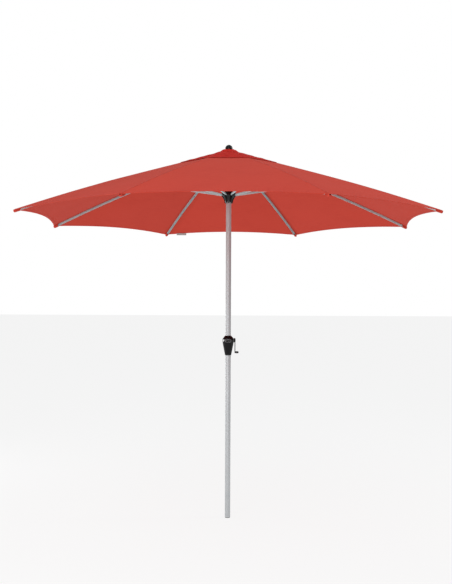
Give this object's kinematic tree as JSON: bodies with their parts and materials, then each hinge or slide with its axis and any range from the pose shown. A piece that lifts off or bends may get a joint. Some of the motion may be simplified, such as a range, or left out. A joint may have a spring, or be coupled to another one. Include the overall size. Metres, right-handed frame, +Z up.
{
  "type": "crank parasol",
  "caption": "Octagonal vented market parasol on a straight round pole, opened and closed by a crank that hoists its runner; no stand.",
  "frame": {"origin": "middle of the flat underside of the plug in the pole's foot, on the pole's axis", "axes": "+Z up the pole; -Y is the front; +X is the side that the crank is on; canopy hems face +X, -X, +Y and -Y"},
  "size_m": [2.7716, 2.7716, 2.662],
  "materials": {
    "canopy_fabric": "plain-woven polyester, terracotta red, faintly uneven from the dye",
    "crown_fabric": "the same weave, a deeper red where it lies double",
    "aluminium": "satin anodised tube",
    "steel": "plain zinc-plated steel",
    "black_plastic": "black moulded plastic with a soft gloss",
    "cord": "off-white braided cord",
    "webbing": "grey woven webbing"
  },
  "bodies": {
    "pole": {"foot_plug": "black_plastic", "pole_lower": "aluminium", "pole_upper": "aluminium", "top_hub": "black_plastic", "hub_ring": "steel", "crown_cap": "crown_fabric", "finial": "black_plastic", "pulley_pin": "steel", "lift_cord_inner": "cord", "housing_front": "black_plastic", "housing_back": "black_plastic"},
    "runner": {"runner": "black_plastic", "lift_cord_outer": "cord"},
    "pulley": {"pulley": "black_plastic"},
    "crank": {"crank_shaft": "steel", "spool": "black_plastic", "crank_arm": "black_plastic", "grip_pin": "steel"},
    "grip": {"crank_grip": "black_plastic"},
    "spoke_1": {"rib_1": "aluminium", "rib_tip_1": "black_plastic", "canopy_section_1": "canopy_fabric", "vent_section_1": "crown_fabric"},
    "spoke_2": {"rib_2": "aluminium", "rib_tip_2": "black_plastic", "canopy_section_2": "canopy_fabric", "vent_section_2": "crown_fabric"},
    "spoke_3": {"rib_3": "aluminium", "rib_tip_3": "black_plastic", "canopy_section_3": "canopy_fabric", "vent_section_3": "crown_fabric"},
    "spoke_4": {"rib_4": "aluminium", "rib_tip_4": "black_plastic", "canopy_section_4": "canopy_fabric", "vent_section_4": "crown_fabric"},
    "spoke_5": {"rib_5": "aluminium", "rib_tip_5": "black_plastic", "canopy_section_5": "canopy_fabric", "vent_section_5": "crown_fabric", "closing_strap": "webbing"},
    "spoke_6": {"rib_6": "aluminium", "rib_tip_6": "black_plastic", "canopy_section_6": "canopy_fabric", "vent_section_6": "crown_fabric"},
    "spoke_7": {"rib_7": "aluminium", "rib_tip_7": "black_plastic", "canopy_section_7": "canopy_fabric", "vent_section_7": "crown_fabric"},
    "spoke_8": {"rib_8": "aluminium", "rib_tip_8": "black_plastic", "canopy_section_8": "canopy_fabric", "vent_section_8": "crown_fabric"},
    "strut_1": {"strut_1": "aluminium"},
    "strut_2": {"strut_2": "aluminium"},
    "strut_3": {"strut_3": "aluminium"},
    "strut_4": {"strut_4": "aluminium"},
    "strut_5": {"strut_5": "aluminium"},
    "strut_6": {"strut_6": "aluminium"},
    "strut_7": {"strut_7": "aluminium"},
    "strut_8": {"strut_8": "aluminium"}
  },
  "joints": [
    {"name": "runner_slide", "type": "slide", "parent": "pole", "child": "runner", "axis": [0, 0, 1], "range_m": [-0.8824, 0], "deforming": ["lift_cord_outer"]},
    {"name": "rib_fold_1", "type": "hinge", "parent": "pole", "child": "spoke_1", "pos_m": [0.01454, -0.03511, 2.596], "axis": [0.9239, 0.3827, 0], "range_deg": [0, 64], "deforming": ["canopy_section_1", "vent_section_1"]},
    {"name": "rib_fold_2", "type": "hinge", "parent": "pole", "child": "spoke_2", "pos_m": [0.03511, -0.01454, 2.596], "axis": [0.3827, 0.9239, 0], "range_deg": [0, 64], "deforming": ["canopy_section_2", "vent_section_2"]},
    {"name": "rib_fold_3", "type": "hinge", "parent": "pole", "child": "spoke_3", "pos_m": [0.03511, 0.01454, 2.596], "axis": [-0.3827, 0.9239, 0], "range_deg": [0, 64], "deforming": ["canopy_section_3", "vent_section_3"]},
    {"name": "rib_fold_4", "type": "hinge", "parent": "pole", "child": "spoke_4", "pos_m": [0.01454, 0.03511, 2.596], "axis": [-0.9239, 0.3827, 0], "range_deg": [0, 64], "deforming": ["canopy_section_4", "vent_section_4"]},
    {"name": "rib_fold_5", "type": "hinge", "parent": "pole", "child": "spoke_5", "pos_m": [-0.01454, 0.03511, 2.596], "axis": [-0.9239, -0.3827, 0], "range_deg": [0, 64], "deforming": ["canopy_section_5", "vent_section_5", "closing_strap"]},
    {"name": "rib_fold_6", "type": "hinge", "parent": "pole", "child": "spoke_6", "pos_m": [-0.03511, 0.01454, 2.596], "axis": [-0.3827, -0.9239, 0], "range_deg": [0, 64], "deforming": ["canopy_section_6", "vent_section_6"]},
    {"name": "rib_fold_7", "type": "hinge", "parent": "pole", "child": "spoke_7", "pos_m": [-0.03511, -0.01454, 2.596], "axis": [0.3827, -0.9239, 0], "range_deg": [0, 64], "deforming": ["canopy_section_7", "vent_section_7"]},
    {"name": "rib_fold_8", "type": "hinge", "parent": "pole", "child": "spoke_8", "pos_m": [-0.01454, -0.03511, 2.596], "axis": [0.9239, -0.3827, 0], "range_deg": [0, 64], "deforming": ["canopy_section_8", "vent_section_8"]},
    {"name": "strut_fold_1", "type": "hinge", "parent": "spoke_1", "child": "strut_1", "pos_m": [0.23535, -0.56819, 2.40724], "axis": [-0.9239, -0.3827, 0], "range_deg": [0, 136]},
    {"name": "strut_fold_2", "type": "hinge", "parent": "spoke_2", "child": "strut_2", "pos_m": [0.56819, -0.23535, 2.40724], "axis": [-0.3827, -0.9239, 0], "range_deg": [0, 136]},
    {"name": "strut_fold_3", "type": "hinge", "parent": "spoke_3", "child": "strut_3", "pos_m": [0.56819, 0.23535, 2.40724], "axis": [0.3827, -0.9239, 0], "range_deg": [0, 136]},
    {"name": "strut_fold_4", "type": "hinge", "parent": "spoke_4", "child": "strut_4", "pos_m": [0.23535, 0.56819, 2.40724], "axis": [0.9239, -0.3827, 0], "range_deg": [0, 136]},
    {"name": "strut_fold_5", "type": "hinge", "parent": "spoke_5", "child": "strut_5", "pos_m": [-0.23535, 0.56819, 2.40724], "axis": [0.9239, 0.3827, 0], "range_deg": [0, 136]},
    {"name": "strut_fold_6", "type": "hinge", "parent": "spoke_6", "child": "strut_6", "pos_m": [-0.56819, 0.23535, 2.40724], "axis": [0.3827, 0.9239, 0], "range_deg": [0, 136]},
    {"name": "strut_fold_7", "type": "hinge", "parent": "spoke_7", "child": "strut_7", "pos_m": [-0.56819, -0.23535, 2.40724], "axis": [-0.3827, 0.9239, 0], "range_deg": [0, 136]},
    {"name": "strut_fold_8", "type": "hinge", "parent": "spoke_8", "child": "strut_8", "pos_m": [-0.23535, -0.56819, 2.40724], "axis": [-0.9239, 0.3827, 0], "range_deg": [0, 136]},
    {"name": "crank_turn", "type": "hinge", "parent": "pole", "child": "crank", "pos_m": [0, 0, 1.266], "axis": [1, 0, 0], "range_deg": [0, 4325]},
    {"name": "pulley_turn", "type": "hinge", "parent": "pole", "child": "pulley", "pos_m": [0, 0.015, 2.56], "axis": [1, 0, 0], "range_deg": [-4600, 0]},
    {"name": "grip_spin", "type": "hinge", "parent": "crank", "child": "grip", "pos_m": [0.0627, 0, 1.18], "axis": [1, 0, 0], "continuous": true}
  ],
  "couplings": [
    {"joint": "rib_fold_1", "follows": "runner_slide", "rad_per_m": -1.2636},
    {"joint": "rib_fold_2", "follows": "runner_slide", "rad_per_m": -1.2636},
    {"joint": "rib_fold_3", "follows": "runner_slide", "rad_per_m": -1.2636},
    {"joint": "rib_fold_4", "follows": "runner_slide", "rad_per_m": -1.2636},
    {"joint": "rib_fold_5", "follows": "runner_slide", "rad_per_m": -1.2636},
    {"joint": "rib_fold_6", "follows": "runner_slide", "rad_per_m": -1.2636},
    {"joint": "rib_fold_7", "follows": "runner_slide", "rad_per_m": -1.2636},
    {"joint": "rib_fold_8", "follows": "runner_slide", "rad_per_m": -1.2636},
    {"joint": "strut_fold_1", "follows": "runner_slide", "rad_per_m": -2.6867},
    {"joint": "strut_fold_2", "follows": "runner_slide", "rad_per_m": -2.6867},
    {"joint": "strut_fold_3", "follows": "runner_slide", "rad_per_m": -2.6867},
    {"joint": "strut_fold_4", "follows": "runner_slide", "rad_per_m": -2.6867},
    {"joint": "strut_fold_5", "follows": "runner_slide", "rad_per_m": -2.6867},
    {"joint": "strut_fold_6", "follows": "runner_slide", "rad_per_m": -2.6867},
    {"joint": "strut_fold_7", "follows": "runner_slide", "rad_per_m": -2.6867},
    {"joint": "strut_fold_8", "follows": "runner_slide", "rad_per_m": -2.6867},
    {"joint": "crank_turn", "follows": "runner_slide", "rad_per_m": -85.447},
    {"joint": "pulley_turn", "follows": "runner_slide", "rad_per_m": 90.909}
  ]
}
